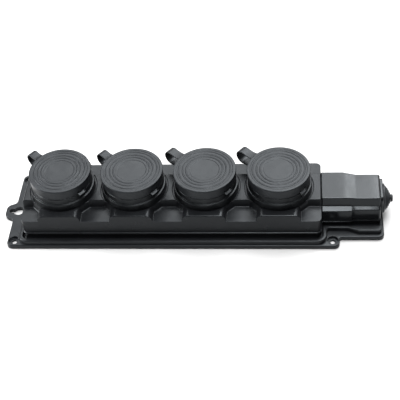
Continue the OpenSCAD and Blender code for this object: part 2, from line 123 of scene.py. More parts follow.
# cable box
BOX_FOOT_HALF_W = 21.9
BOX_FOOT_DROP = 1.5
BOX_FOOT_STEP_X = (163, 166)
BOX_ROOM_HALF_W = 17
BOX_START_R = 1.3
BOX_END_R = 1.9
BOX_LEDGE_H = 15.4
BOX_LEDGE_FALL = 1.6
BOX_LIP = 0.5
BOX_UPPER_HALF_W = 16.4
BOX_SLOPE_X = (156, 168)
BOX_DROP = 0.7
BOX_BACK_OUT = 2.8
BOX_SIDE_LEAN = 1.2
SLEEVE_Z = (12, 25.5)
SLEEVE_HALF_W = 13
SLEEVE_WALL = 1.5

# cable inlet and membrane
INLET_R = 8.4
FRAME_CORNER_R = 4
NECK_R = 8.2
NECK_LIP_R = 9.2
DISC_T = 1.6
CONE_STEPS = 5
CONE_TIP_LEN = 2
CONE_GROOVE = 1.5
CONE_R = 11.8
CONE_FALL = 0.75
CONE_CURVE = 0.22
CONE_TIP_R = 3.6

# housing cover
LIP_OUT = 0.8
LIP_H = 1.2
WALL_T = 2.8
COVER_HALF = Vector((cover_high.x - LIP_OUT, cover_high.y - LIP_OUT))
DECK_Z = cover_high.z
DECK_T = 3
DECK_HALF_W = 16.5
LEDGE_Z = 26.8
PAD_SHOULDER = 5.5
RING_SEAT_R = 31.2
COLLAR_R = 25.4
FLANGE_R = 28.5
PAD_HALF_W = 19.6
PAD_LEAN = 0.3
NOTCH_BACK_Y = 18.5
NOTCH_BACK_HALF_W = 6.7
NOTCH_SHOULDER_Y = 25.3

# caps, rings and straps
CAP_R = (cap_high.x - cap_low.x) / 2
CAP_TOP = cap_high.z
LID_T = 3.1
SKIRT_IN_R = 26.3
RING_BASE_R = (ring_high.x - ring_low.x) / 2
RING_BASE_TOP = 40
RING_R = 27.7
WINDOW_W = 8.4
WINDOW_H = 2.8
LUG_W = 4
SILL_DROP = 1.7
SHELF_W = 7.8
SHELF_T = 1
SHELF_RISE = 1.3
SHELF_FALL = 0.4
SHELF_R = 30.2
SHELF_END_Z = 47
RIDGE_SHARES = (0.82, 0.69, 0.58)
STRAP_W = 8.4
STRAP_T = 1.3
STRAP_BEND_R = 6.4
STRAP_PINCH = 0.8
STRAP_SLACK = (3.6, 3.6, 0.2, 0)


# ---------- mesh helpers ----------

def outline(corners, steps=8):
    """Points of a closed outline through corners (x, y, radius), rounded at each one."""
    points = []
    for i, (x, y, radius) in enumerate(corners):
        here = Vector((x, y))
        back = (Vector(corners[i - 1][:2]) - here).normalized()
        ahead = (Vector(corners[(i + 1) % len(corners)][:2]) - here).normalized()
        if radius == 0:
            points.append(here)
            continue
        half = back.angle(ahead) / 2
        centre = here + (back + ahead).normalized() * (radius / math.sin(half))
        start = here + back * (radius / math.tan(half)) - centre
        end = here + ahead * (radius / math.tan(half)) - centre
        sweep = math.atan2(start.x * end.y - start.y * end.x, start.dot(end))
        points += [centre + Matrix.Rotation(sweep * k / steps, 2) @ start for k in range(steps + 1)]
    return points


def rectangle(low, high, radius):
    return outline([(low[0], low[1], radius), (high[0], low[1], radius),
                    (high[0], high[1], radius), (low[0], high[1], radius)])


def circle(x, y, radius, steps=48):
    angles = [2 * math.pi * k / steps for k in range(steps)]
    return [Vector((x + radius * math.cos(a), y + radius * math.sin(a))) for a in angles]


def inset(points, distance):
    """The outline moved to its left by distance, which is inwards where it runs anticlockwise."""
    moved = []
    for i, here in enumerate(points):
        before = (here - points[i - 1]).normalized()
        after = (points[(i + 1) % len(points)] - here).normalized()
        a, b = Vector((-before.y, before.x)), Vector((-after.y, after.x))
        moved.append(here + (a + b) * (distance / (1 + a.dot(b))))
    return moved


def piece(name, mesh, material, body):
    made = bpy.data.objects.new(name, mesh)
    bpy.context.scene.collection.objects.link(made)
    if material is not None:
        mesh.materials.append(material)
    if body is not None:
        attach(made, body)
    return made


def mesh_of(name, build):
    """A closed mesh from the millimetre geometry that build puts in a bmesh."""
    work = bmesh.new()
    build(work)
    bmesh.ops.remove_doubles(work, verts=work.verts, dist=0.002)
    bmesh.ops.dissolve_degenerate(work, edges=work.edges, dist=0.001)
    bmesh.ops.recalc_face_normals(work, faces=work.faces)
    bmesh.ops.scale(work, verts=work.verts, vec=(MM, MM, MM))
    mesh = bpy.data.meshes.new(name)
    work.to_mesh(mesh)
    work.free()
    return mesh


def add_rings(work, rings, capped=True):
    """Joins rings of equal length into a tube, with a face at each end."""
    rows = [[work.verts.new(p) for p in ring] for ring in rings]
    count = len(rows[0])
    for low, high in zip(rows, rows[1:]):
        for i in range(count):
            j = (i + 1) % count
            work.faces.new((low[i], low[j], high[j], high[i]))
    if capped:
        work.faces.new(rows[0][::-1])
        work.faces.new(rows[-1])
    return rows


def add_slab(work, loops):
    """A flat solid. Each loop is (points, profile) with the profile's (inset, z) from low to high.
    The first loop is the outer one and the others are holes, whose insets widen the hole."""
    ends = [[], []]
    for number, (points, profile) in enumerate(loops):
        way = 1 if number == 0 else -1
        rings = [[Vector((p.x, p.y, z)) for p in inset(points, way * d)] for d, z in profile]
        rows = add_rings(work, rings, capped=False)
        ends[0].append(rows[0])
        ends[1].append(rows[-1])
    for rows in ends:
        flat = [vert for row in rows for vert in row]
        for triangle in tessellate_polygon([[vert.co for vert in row] for row in rows]):
            corners = [flat[k] for k in triangle]
            if len(set(corners)) == 3:
                work.faces.new(corners)


def add_turned(work, profile, centre=(0, 0), steps=TURN_STEPS):
    """A solid of revolution about an upright axis, from a closed profile of (radius, z)."""
    rings = []
    for k in range(steps):
        a = 2 * math.pi * k / steps
        rings.append([
            Vector((centre[0] + p[0] * math.cos(a), centre[1] + p[0] * math.sin(a), p[1])) for p in profile
        ])
    rows = [[work.verts.new(p) for p in ring] for ring in rings]
    count = len(profile)
    for k in range(steps):
        here, there = rows[k], rows[(k + 1) % steps]
        for i in range(count):
            j = (i + 1) % count
            if profile[i][0] > 0 or profile[j][0] > 0:
                work.faces.new((here[i], there[i], there[j], here[j]))


def edge_up(radius, z, steps=4):
    """Profile of an edge rounded off at the top of a wall that ends at z."""
    angles = [math.pi / 2 * k / steps for k in range(steps + 1)]
    return [(radius * (1 - math.cos(a)), z - radius * (1 - math.sin(a))) for a in angles]


def edge_down(radius, z, steps=4):
    """Profile of an edge rounded off at the foot of a wall that starts at z."""
    angles = [math.pi / 2 * k / steps for k in range(steps, -1, -1)]
    return [(radius * (1 - math.cos(a)), z + radius * (1 - math.sin(a))) for a in angles]


def cut(target, tools):
    """Takes the tools' solids out of the target's mesh."""
    for tool in tools:
        modifier = target.modifiers.new("cut", "BOOLEAN")
        modifier.operation = "DIFFERENCE"
        modifier.solver = "EXACT"
        modifier.object = tool
    bpy.context.view_layer.update()
    graph = bpy.context.evaluated_depsgraph_get()
    made = bpy.data.meshes.new_from_object(target.evaluated_get(graph))
    target.modifiers.clear()
    target.data = made
    for tool in tools:
        bpy.data.objects.remove(tool)


def tool_of(name, build):
    return piece(name, mesh_of(name, build), None, None)


def shade(target, sharp_angle=32):
    """Smooth shading that keeps flat faces flat and edges over the angle crisp."""
    work = bmesh.new()
    work.from_mesh(target.data)
    bmesh.ops.remove_doubles(work, verts=work.verts, dist=0.002 * MM)
    for face in work.faces:
        face.smooth = True
    for edge in work.edges:
        if len(edge.link_faces) == 2:
            edge.smooth = edge.calc_face_angle(0) < math.radians(sharp_angle)
    work.to_mesh(target.data)
    work.free()
    weighted = target.modifiers.new("flat faces", "WEIGHTED_NORMAL")
    weighted.keep_sharp = True
    return target


# ---------- camera, lights and floor ----------

def add_camera():
    place = Vector((0.1233, -0.6403, 0.6878))
    heading, tilt, roll = -0.1522, 0.8034, -0.1142
    data = bpy.data.cameras.new("camera")
    data.lens = 90.6
    data.clip_start = 0.05
    camera = bpy.data.objects.new("camera", data)
    camera.matrix_world = (
        Matrix.Translation(place)
        @ Matrix.Rotation(-heading, 4, "Z")
        @ Matrix.Rotation(math.pi / 2 - tilt, 4, "X")
        @ Matrix.Rotation(roll, 4, "Z")
    )
    bpy.context.scene.collection.objects.link(camera)
    bpy.context.scene.camera = camera


def add_softbox(name, place, target, size, power):
    data = bpy.data.lights.new(name, "AREA")
    data.shape = "RECTANGLE"
    data.size, data.size_y = size
    data.energy = power
    light = bpy.data.objects.new(name, data)
    light.location = place
    light.rotation_euler = (Vector(target) - Vector(place)).to_track_quat("-Z", "Y").to_euler()
    bpy.context.scene.collection.objects.link(light)


def add_slope_strip():
    """A narrow light that the camera sees mirrored in the slope on top of the cable box."""
    slope = Vector((sum(BOX_SLOPE_X) / 2, 0, box_high.z)) * MM
    tilt = BOX_DROP / (BOX_SLOPE_X[1] - BOX_SLOPE_X[0])
    seen = (slope - bpy.context.scene.camera.location).normalized()
    mirrored = seen.reflect(Vector((tilt, 0, 1)).normalized())
    add_softbox("softbox_strip", slope + mirrored * 1.1, slope, (0.05, 0.5), 0.8)


def add_stage():
    scene = bpy.context.scene
    scene.view_settings.view_transform = "Standard"
    world = bpy.data.worlds.new("studio")
    world.use_nodes = True
    world.node_tree.nodes["Background"].inputs["Color"].default_value = (1, 1, 1, 1)
    world.node_tree.nodes["Background"].inputs["Strength"].default_value = 0.1
    scene.world = world
    add_softbox("softbox_back", (0.2, 0.72, 0.95), (0.03, 0, 0), (1.6, 0.75), 23)
    add_softbox("softbox_overhead", (0.15, -0.02, 1.05), (0.05, 0, 0), (1.5, 0.26), 18)
    add_softbox("softbox_left", (-0.52, -0.02, 0.26), (-0.1, 0, 0.04), (0.3, 0.2), 4)
    add_slope_strip()
    half = 4
    corners = [(-half, -half), (half, -half), (half, half), (-half, half)]
    mesh = bpy.data.meshes.new("floor")
    mesh.from_pydata([(x, y, plate_low.z * MM) for x, y in corners], [], [(0, 1, 2, 3)])
    floor = bpy.data.objects.new("floor", mesh)
    scene.collection.objects.link(floor)
    mesh.materials.append(plain_floor())


# ---------- materials ----------

EDGE_R = 0.5 * MM


class Nodes:
    """Short forms for wiring a material."""

    def __init__(self, name):
        self.material = bpy.data.materials.new(name)
        self.material.use_nodes = True
        self.tree = self.material.node_tree
        self.shader = self.tree.nodes["Principled BSDF"]
        self.place = self.tree.nodes.new("ShaderNodeTexCoord").outputs["Object"]
        self.rounded = None

    def feed(self, socket, value):
        """Links the value if it is another node's output, or else sets it."""
        if isinstance(value, bpy.types.NodeSocket):
            self.tree.links.new(value, socket)
        else:
            socket.default_value = value

    def add(self, kind, **inputs):
        node = self.tree.nodes.new(kind)
        for key, value in inputs.items():
            self.feed(node.inputs[key.replace("_", " ")], value)
        return node

    def noise(self, per_metre, detail=3.0, roughness=0.5):
        node = self.add("ShaderNodeTexNoise", Vector=self.place, Scale=per_metre, Detail=detail,
                        Roughness=roughness)
        return node.outputs["Fac"]

    def spread(self, value, low, high, start=0.3, end=0.7):
        """The value's range from start to end, moved to the range from low to high."""
        node = self.add("ShaderNodeMapRange", Value=value)
        node.inputs["From Min"].default_value = start
        node.inputs["From Max"].default_value = end
        node.inputs["To Min"].default_value = low
        node.inputs["To Max"].default_value = high
        return node.outputs["Result"]

    def mix(self, amount, first, second):
        node = self.tree.nodes.new("ShaderNodeMix")
        node.data_type = "RGBA"
        self.feed(node.inputs[0], amount)
        for socket, value in ((node.inputs[6], first), (node.inputs[7], second)):
            self.feed(socket, (*value, 1) if isinstance(value, tuple) else value)
        return node.outputs[2]

    def edges(self, radius):
        """1 on edges that wear, 0 on open faces. It also rounds the edges that bump then shades."""
        rounded = self.tree.nodes.new("ShaderNodeBevel")
        rounded.samples = 8
        rounded.inputs["Radius"].default_value = radius
        normal = self.tree.nodes.new("ShaderNodeNewGeometry").outputs["Normal"]
        product = self.tree.nodes.new("ShaderNodeVectorMath")
        product.operation = "DOT_PRODUCT"
        self.rounded = rounded.outputs["Normal"]
        self.feed(product.inputs[0], self.rounded)
        self.feed(product.inputs[1], normal)
        return self.spread(product.outputs["Value"], 1, 0, 0.8, 0.98)

    def bump(self, height, strength, distance):
        node = self.add("ShaderNodeBump", Height=height, Strength=strength, Distance=distance)
        if self.rounded is not None:
            self.feed(node.inputs["Normal"], self.rounded)
        self.set(Normal=node.outputs["Normal"])

    def set(self, **inputs):
        for key, value in inputs.items():
            self.feed(self.shader.inputs[key.replace("_", " ")], value)


def shades(colour, amount):
    return tuple(c * (1 - amount) for c in colour), tuple(c * (1 + amount) for c in colour)


def moulded(name, colour, rough, grain_per_metre, grain_depth, wear, shine=0.25):
    """Moulded plastic or rubber: cloudy tone, uneven gloss, fine grain and paler edges."""
    n = Nodes(name)
    dark, light = shades(colour, 0.14)
    cloud = n.spread(n.noise(28, 4), 0, 1)
    tone = n.mix(cloud, dark, light)
    worn = tuple(c * (1 + wear) for c in colour)
    edge = n.edges(EDGE_R)
    n.set(Base_Color=n.mix(edge, tone, worn))
    n.set(Roughness=n.spread(n.noise(140, 5), rough - 0.05, rough + 0.05))
    n.set(Specular_IOR_Level=shine, Specular_Tint=(0.88, 0.95, 1.0, 1))
    n.bump(n.noise(grain_per_metre, 2), 0.35, grain_depth)
    return n.material


def metal(name, colour, rough, grain_per_metre):
    n = Nodes(name)
    dark, light = shades(colour, 0.1)
    n.set(Base_Color=n.mix(n.spread(n.noise(180, 4), 0, 1), dark, light), Metallic=1.0)
    n.set(Roughness=n.spread(n.noise(grain_per_metre, 4), rough - 0.08, rough + 0.12))
    n.bump(n.noise(grain_per_metre * 3, 2), 0.2, 0.00003)
    return n.material


def plain_floor():
    n = Nodes("floor_paper")
    n.set(Base_Color=n.mix(n.noise(5, 2), (0.54, 0.54, 0.54), (0.56, 0.56, 0.56)), Roughness=0.9)
    return n.material


BASE_PLASTIC = moulded("base_plastic", (0.0065, 0.007, 0.008), 0.36, 2600, 0.00006, 5)
COVER_PLASTIC = moulded("cover_plastic", (0.0065, 0.007, 0.008), 0.32, 2600, 0.00005, 5, shine=0.21)
BOX_PLASTIC = moulded("box_plastic", (0.007, 0.0075, 0.0085), 0.17, 2200, 0.00004, 2)
CAP_RUBBER = moulded("cap_rubber", (0.010, 0.011, 0.0125), 0.38, 1800, 0.00008, 3)
RING_RUBBER = moulded("ring_rubber", (0.005, 0.0055, 0.0062), 0.36, 1800, 0.00006, 4)
STRAP_RUBBER = moulded("strap_rubber", (0.013, 0.014, 0.0155), 0.36, 1500, 0.00005, 2)
MEMBRANE_RUBBER = moulded("membrane_rubber", (0.02, 0.021, 0.023), 0.4, 1500, 0.00008, 1)
SEAL_RUBBER = moulded("seal_rubber", (0.01, 0.01, 0.01), 0.6, 1500, 0.00008, 0.2)
INSERT_PLASTIC = moulded("insert_plastic", (0.02, 0.02, 0.021), 0.48, 2600, 0.00005, 0.6)
TERMINAL_PLASTIC = moulded("terminal_plastic", (0.6, 0.6, 0.56), 0.45, 2600, 0.00004, 0.1)
BRASS = metal("brass", (0.72, 0.52, 0.24), 0.3, 900)
SPRING_METAL = metal("spring_metal", (0.62, 0.6, 0.57), 0.28, 900)
SCREW_STEEL = metal("screw_steel", (0.56, 0.57, 0.58), 0.32, 1200)

SLOT_MATERIALS = {
    "base_plastic": BASE_PLASTIC, "cover_plastic": COVER_PLASTIC, "box_plastic": BOX_PLASTIC,
    "cap_rubber": CAP_RUBBER, "ring_rubber": RING_RUBBER, "strap_rubber": STRAP_RUBBER,
    "membrane_rubber": MEMBRANE_RUBBER, "seal_rubber": SEAL_RUBBER,
    "insert_plastic": INSERT_PLASTIC, "terminal_plastic": TERMINAL_PLASTIC,
    "brass": BRASS, "spring_metal": SPRING_METAL, "screw_steel": SCREW_STEEL,
}


def dress_cad_nodes():
    """Gives each CAD node that stays in view the material of its slot."""
    for part in frame["record"]["subparts"]:
        node = frame["nodes"][part["node"]]
        node.data.materials.clear()
        node.data.materials.append(SLOT_MATERIALS[part["material_slot"]])


# ---------- base plate ----------

def plate_outline():
    x, y = PLATE_HALF
    ear_x = plate_low.x
    return outline([
        (-x, -y, 5), (x, -y, 5), (x, -TAIL_HALF_W, 2.5), (TAIL_END, -TAIL_HALF_W, 5),
        (TAIL_END, TAIL_HALF_W, 5), (x, TAIL_HALF_W, 2.5), (x, y, 5), (-x, y, 5),
        (-x, EAR_Y + 10.6, 4), (ear_x, EAR_Y + 6.6, 6), (ear_x, EAR_Y - 6.6, 6), (-x, EAR_Y - 10.6, 4)
    ])


def slot_outline(steps=20):
    meet = math.asin(SLOT_R / SLOT_HEAD_R)
    points = []
    for k in range(steps + 1):
        a = (math.pi - meet) * (2 * k / steps - 1)
        points.append(Vector((SLOT_HEAD_X + SLOT_HEAD_R * math.cos(a), EAR_Y + SLOT_HEAD_R * math.sin(a))))
    for k in range(steps + 1):
        a = math.pi * (0.5 + k / steps)
        points.append(Vector((SLOT_END_X + SLOT_R * math.cos(a), EAR_Y + SLOT_R * math.sin(a))))
    return points


def screw_places():
    """Centres of the screws that hold both covers from the back, read from their nodes."""
    cover_low_at, cover_high_at = node_box("cover_screws")
    rim = Vector((SCREW_HEAD_R, SCREW_HEAD_R))
    low, high = cover_low_at.xy + rim, cover_high_at.xy - rim
    middle = sum(socket_xs) / len(socket_xs)
    box_low_at, box_high_at = node_box("box_screws")
    near, far = box_low_at.x + SCREW_HEAD_R, box_high_at.x - SCREW_HEAD_R
    near_y = box_high_at.y - SCREW_HEAD_R
    cover = [Vector((x, y)) for x in (low.x, middle, high.x) for y in (low.y, high.y)]
    box = [Vector((x, side * y)) for x, y in ((near, near_y), (far, BOX_SCREW_FAR_Y)) for side in (-1, 1)]
    return cover + box


def rim_outline():
    x, y = RIM_HALF
    (step_x, step_y), (wide_x, wide_y) = BOX_RIM_STEP
    end_x, end_y = BOX_RIM_IN
    outer = [(BOX_RIM_END, INLET_HALF_W, 0.9), (BOX_RIM_END, wide_y, 3), (wide_x, wide_y, 2),
             (step_x, step_y, 2), (x, step_y, 2.5), (x, y, 9), (-x, y, 8.5)]
    inner = [(end_x, INLET_HALF_W, 0.7), (end_x, end_y, 1.2), (x - RIM_T, end_y, 1.5),
             (x - RIM_T, y - RIM_T, 5), (-x + RIM_T, y - RIM_T, 5)]

    def mirrored(corners):
        return [(cx, -cy, r) for cx, cy, r in reversed(corners)]

    return outline(outer + mirrored(outer) + mirrored(inner)[::-1] + inner[::-1])


def make_plate():
    foot_r, top_r = 0.5, 0.9
    profile = edge_down(foot_r, 0) + edge_up(top_r, PLATE_T)
    recess_w, recess_z = RECESS_R - holes["hole_r_mm"], PLATE_T - RECESS_H
    recess = [(0, 0), (0, recess_z - 0.3), (0.3, recess_z), (recess_w, recess_z),
              (recess_w, PLATE_T - 0.4), (recess_w + 0.1, PLATE_T - 0.15), (recess_w + 0.4, PLATE_T)]
    hole_at = Vector((holes["spacing_x_mm"] / 2, holes["spacing_y_mm"] / 2))
    head_w = SCREW_HEAD_R + 0.2 - SCREW_R
    screw_hole = [(head_w, 0), (head_w, SCREW_HEAD_H), (0, SCREW_HEAD_H), (0, PLATE_T)]

    def build(work):
        loops = [(plate_outline(), profile)]
        for sx in (-1, 1):
            for sy in (-1, 1):
                ring = circle(sx * hole_at.x, sy * hole_at.y, holes["hole_r_mm"])
                loops.append((ring, recess))
        slot = [(0.3, 0), (0, 0.3), (0, PLATE_T - 0.5), (0.15, PLATE_T - 0.15), (0.5, PLATE_T)]
        loops.append((slot_outline(), slot))
        for place in screw_places():
            loops.append((circle(place.x, place.y, SCREW_R), screw_hole))
        add_slab(work, loops)

    made = piece("base_plate_shell", mesh_of("base_plate_shell", build), BASE_PLASTIC, BODY)
    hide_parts("base_plate")
    return shade(made)


def make_rim():
    def build(work):
        add_slab(work, [(rim_outline(), [(0, PLATE_T - OVERLAP)] + edge_up(RIM_ROUND_R, RIM_Z))])

    made = piece("base_plate_rim", mesh_of("base_plate_rim", build), BASE_PLASTIC, BODY)
    return shade(made)


def make_seats():
    """The two upright seats under the gaskets."""
    def seat(work, low, high, thick, radius):
        walls = [(0, PLATE_T - OVERLAP), (0, low.z)]
        outer = rectangle((low.x, low.y), (high.x, high.y), radius)
        inner = rectangle((low.x + thick, low.y + thick), (high.x - thick, high.y - thick), radius / 2)
        add_slab(work, [(outer, walls), (inner, walls)])

    def build(work):
        seat(work, gasket_low, gasket_high, COVER_SEAT_T, COVER_SEAT_R)
        seat(work, box_gasket_low, box_gasket_high, BOX_SEAT_T, BOX_SEAT_R)

    made = piece("base_plate_seats", mesh_of("base_plate_seats", build), BASE_PLASTIC, BODY)
    return shade(made)


# ---------- housing cover ----------

def pad_half_width(z):
    """Half the width of the pad in front of a socket, which rounds over into the deck."""
    start = DECK_Z - PAD_SHOULDER
    if z <= start:
        return PAD_HALF_W - PAD_LEAN * (z - LEDGE_Z) / (start - LEDGE_Z)
    rise = min(1.0, (z - start) / PAD_SHOULDER)
    return PAD_HALF_W - PAD_LEAN - PAD_SHOULDER * (1 - math.sqrt(1 - rise * rise))


def notch_ring(z, side, flare):
    """Outline of a low ledge's space at height z. Flare grows it, at its foot fillet and rim."""
    share = (z - LEDGE_Z) / (DECK_Z - LEDGE_Z)
    wide = pitch / 2 - pad_half_width(z) + flare
    narrow = NOTCH_BACK_HALF_W + 1.2 * share + flare / 2
    back = NOTCH_BACK_Y - (NOTCH_BACK_Y - DECK_HALF_W) * share - flare
    shoulder = NOTCH_SHOULDER_Y - 2.2 * share - flare
    far = 60
    corners = [(-wide, -far, 0), (-wide, -shoulder, 0.8), (-narrow, -back, 0.8),
               (narrow, -back, 0.8), (wide, -shoulder, 0.8), (wide, -far, 0)]
    points = outline(corners[::-1], steps=3)
    return [Vector((p.x, side * -p.y, z)) for p in points]


def notch_tool(x, side):
    height = DECK_Z - LEDGE_Z
    fillet = [(0, -0.7), (0.1, -0.35), (0.35, -0.1), (0.7, 0)]
    wall = [(0.7 + (height - 0.7) * k / 10, 0) for k in range(1, 10)]
    rim = [(height - 0.35, 0.05), (height - 0.1, 0.3), (height + 0.02, 0.7), (height + 1, 1.2)]

    def build(work):
        rings = [notch_ring(LEDGE_Z + rise, side, flare) for rise, flare in fillet + wall + rim]
        add_rings(work, [[p + Vector((x, 0, 0)) for p in ring] for ring in rings])

    return tool_of("notch", build)


def socket_hole_tool(x):
    seat_z = ring_low.z
    profile = [(0, cover_low.z - 5), (FLANGE_R + 0.1, cover_low.z - 5), (FLANGE_R + 0.1, DECK_Z - DECK_T),
               (COLLAR_R + 0.1, DECK_Z - DECK_T), (COLLAR_R + 0.1, seat_z), (RING_SEAT_R - 0.4, seat_z),
               (RING_SEAT_R - 0.1, seat_z + 0.1), (RING_SEAT_R, seat_z + 0.4), (RING_SEAT_R, DECK_Z - 0.5),
               (RING_SEAT_R + 0.15, DECK_Z - 0.15), (RING_SEAT_R + 0.5, DECK_Z + 0.02),
               (RING_SEAT_R + 1, DECK_Z + 1), (0, DECK_Z + 1)]
    return tool_of("socket_hole", lambda work: add_turned(work, profile, (x, 0)))


def cavity_tools():
    ceiling = LEDGE_Z - WALL_T
    x, y = COVER_HALF.x - WALL_T, COVER_HALF.y - WALL_T
    channel_y = DECK_HALF_W - WALL_T

    def main(work):
        walls = [(0, cover_low.z - 5), (0, ceiling)]
        add_slab(work, [(rectangle((-x, -y), (x, y), 2), walls)])

    def channel(work):
        walls = [(0, ceiling - 1), (0, DECK_Z - DECK_T)]
        add_slab(work, [(rectangle((-x, -channel_y), (x, channel_y), 1), walls)])

    return [tool_of("cavity", main), tool_of("channel", channel)]


def make_cover():
    low_z, lip_z = cover_low.z, cover_low.z + LIP_H
    lip = [(-LIP_OUT + 0.25, low_z), (-LIP_OUT, low_z + 0.25), (-LIP_OUT, lip_z - 0.3),
           (-LIP_OUT + 0.25, lip_z), (0, lip_z + 0.2)]
    profile = lip + edge_up(1.3, DECK_Z, 5)

    def build(work):
        x, y = COVER_HALF
        add_slab(work, [(rectangle((-x, -y), (x, y), 4.5), profile)])

    mesh = mesh_of("housing_cover_shell", build)
    made = piece("housing_cover_shell", mesh, COVER_PLASTIC, BODY)
    middle = sum(socket_xs) / len(socket_xs)
    notch_xs = [middle + (i - 2) * pitch for i in range(5)]
    tools = [notch_tool(x, side) for x in notch_xs for side in (-1, 1)]
    tools += [socket_hole_tool(x) for x in socket_xs]
    cut(made, tools + cavity_tools())
    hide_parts("housing_cover")
    return shade(made)


# ---------- cable box ----------

def box_ring(x, foot, back_y, top_z, shrink):
    """End view of the cable box at x, as an outline in (y, z) that shrink draws in."""
    low_z, ledge_z = box_low.z, box_low.z + BOX_LEDGE_H
    lip_z, shelf_z = low_z + LIP_H, ledge_z - BOX_LEDGE_FALL
    side = [(foot + BOX_LIP, low_z, 0.2), (foot + BOX_LIP, lip_z, 0.4), (foot, lip_z + 0.2, 0.3),
            (foot - 0.5, shelf_z, 1.0), (BOX_UPPER_HALF_W, ledge_z, 0.5)]
    mirrored = [(-y, z, r) for y, z, r in reversed(side)]
    top = [(back_y, top_z, 0.9), (-BOX_UPPER_HALF_W + BOX_SIDE_LEAN, top_z, 0.9)]
    flat = inset(outline(side + top + mirrored, steps=4), shrink)
    return [Vector((x, p.x, p.y)) for p in flat]


def make_cable_box():
    x0, x1 = box_low.x, box_high.x

    def share_between(x, ends):
        return min(1.0, max(0.0, (x - ends[0]) / (ends[1] - ends[0])))

    def section(x, shrink):
        fallen = share_between(x, BOX_SLOPE_X)
        foot = BOX_FOOT_HALF_W - BOX_FOOT_DROP * share_between(x, BOX_FOOT_STEP_X)
        back_y = BOX_UPPER_HALF_W - BOX_SIDE_LEAN + BOX_BACK_OUT * (1 - fallen)
        return box_ring(x, foot, back_y, box_high.z - BOX_DROP * fallen, shrink)

    def build(work):
        start = [(x0 + z, d) for d, z in edge_down(BOX_START_R, 0)]
        end = [(x1 - BOX_END_R + z, d) for d, z in edge_up(BOX_END_R, BOX_END_R)]
        stops = [150, 160, 180, *BOX_SLOPE_X, *BOX_FOOT_STEP_X, sum(BOX_FOOT_STEP_X) / 2]
        middle = [(x, 0) for x in sorted(stops)]
        add_rings(work, [section(x, shrink) for x, shrink in start + middle + end])

    def hollow(half_w, top_z):
        outer = rectangle((x0 + WALL_T, -half_w), (x1 - WALL_T, half_w), 2)
        return lambda work: add_slab(work, [(outer, [(0, box_low.z - 5), (0, top_z)])])

    made = piece("cable_box_shell", mesh_of("cable_box_shell", build), BOX_PLASTIC, BODY)
    room = hollow(BOX_ROOM_HALF_W, box_low.z + BOX_LEDGE_H - WALL_T)
    loft = hollow(BOX_UPPER_HALF_W - WALL_T - 1, box_high.z - DECK_T)
    cut(made, [tool_of("box_hollow", room), tool_of("box_upper", loft)])
    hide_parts("cable_box")
    return shade(made)


def make_box_sleeve():
    """Closes the gap to the cover round the conductors that cross it."""
    def build(work):
        walls = [(0, cover_high.x - LIP_OUT - 0.2), (0, box_low.x + 0.4)]
        low = Vector((-SLEEVE_Z[1], -SLEEVE_HALF_W))
        high = Vector((-SLEEVE_Z[0], SLEEVE_HALF_W))
        thick = Vector((SLEEVE_WALL, SLEEVE_WALL))
        outer, inner = rectangle(low, high, 1), rectangle(low + thick, high - thick, 1)
        add_slab(work, [(outer, walls), (inner, walls)])
        along_x(work, (0, 0, 0))

    made = piece("cable_box_sleeve", mesh_of("cable_box_sleeve", build), BOX_PLASTIC, BODY)
    return shade(made)


# ---------- cable inlet ----------

def along_x(work, centre):
    """Lays geometry that was built upright along +X, about a centre."""
    turn = Matrix.Translation(centre) @ Matrix.Rotation(math.pi / 2, 4, "Y")
    bmesh.ops.transform(work, matrix=turn, verts=work.verts)


def make_inlet_frame():
    centre = (inlet_low + inlet_high) / 2
    half_y = (inlet_high.y - inlet_low.y) / 2
    half_z = (inlet_high.z - inlet_low.z) / 2
    depth = inlet_high.x - inlet_low.x

    def build(work):
        outer = rectangle((-half_z, -half_y), (half_z, half_y), FRAME_CORNER_R)
        hole = circle(0, 0, INLET_R)
        add_slab(work, [(outer, [(0, 0)] + edge_up(0.8, depth)), (hole, [(0, 0), (0, depth)])])
        along_x(work, (inlet_low.x, centre.y, centre.z))

    made = piece("inlet_frame_shell", mesh_of("inlet_frame_shell", build), BOX_PLASTIC, BODY)
    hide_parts("inlet_frame")
    return shade(made)


def cone_step_r(i):
    """Radius of each step of the membrane, which falls faster towards the tip."""
    return CONE_R - (CONE_FALL + CONE_CURVE * i) * i


def membrane_profile():
    radius = (membrane_high.y - membrane_low.y) / 2
    inner, base, tip = membrane_low.x, inlet_high.x, membrane_high.x
    foot = base + DISC_T
    step = (tip - CONE_TIP_LEN - foot) / CONE_STEPS
    corners = [(0, inner, 0), (NECK_LIP_R, inner, 0.3), (NECK_LIP_R, inner + DISC_T, 0.3),
               (NECK_R, inner + DISC_T, 0), (NECK_R, base, 0), (radius, base, 0.3), (radius, foot, 0.6)]
    for i in range(CONE_STEPS):
        x, r = foot + i * step, cone_step_r(i)
        groove_r = cone_step_r(i + 1) - CONE_GROOVE
        corners += [(r, x, 0.15), (r - 0.2, x + step * 0.5, 0.2), (groove_r, x + step * 0.65, 0.1),
                    (groove_r, x + step, 0.1)]
    corners += [(CONE_TIP_R, tip - CONE_TIP_LEN, 0.1), (CONE_TIP_R - 0.4, tip, 0.6), (0, tip, 0)]
    return outline(corners, steps=3)


def make_membrane():
    """Disc and grooved cone with a closed tip, and a neck that reaches into the box."""
    def build(work):
        add_turned(work, membrane_profile(), steps=96)
        along_x(work, (0, 0, (membrane_high.z + membrane_low.z) / 2))

    made = piece("cable_membrane_cone", mesh_of("cable_membrane_cone", build), MEMBRANE_RUBBER, BODY)
    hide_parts("cable_membrane")
    return shade(made)


# ---------- caps, rings and straps ----------

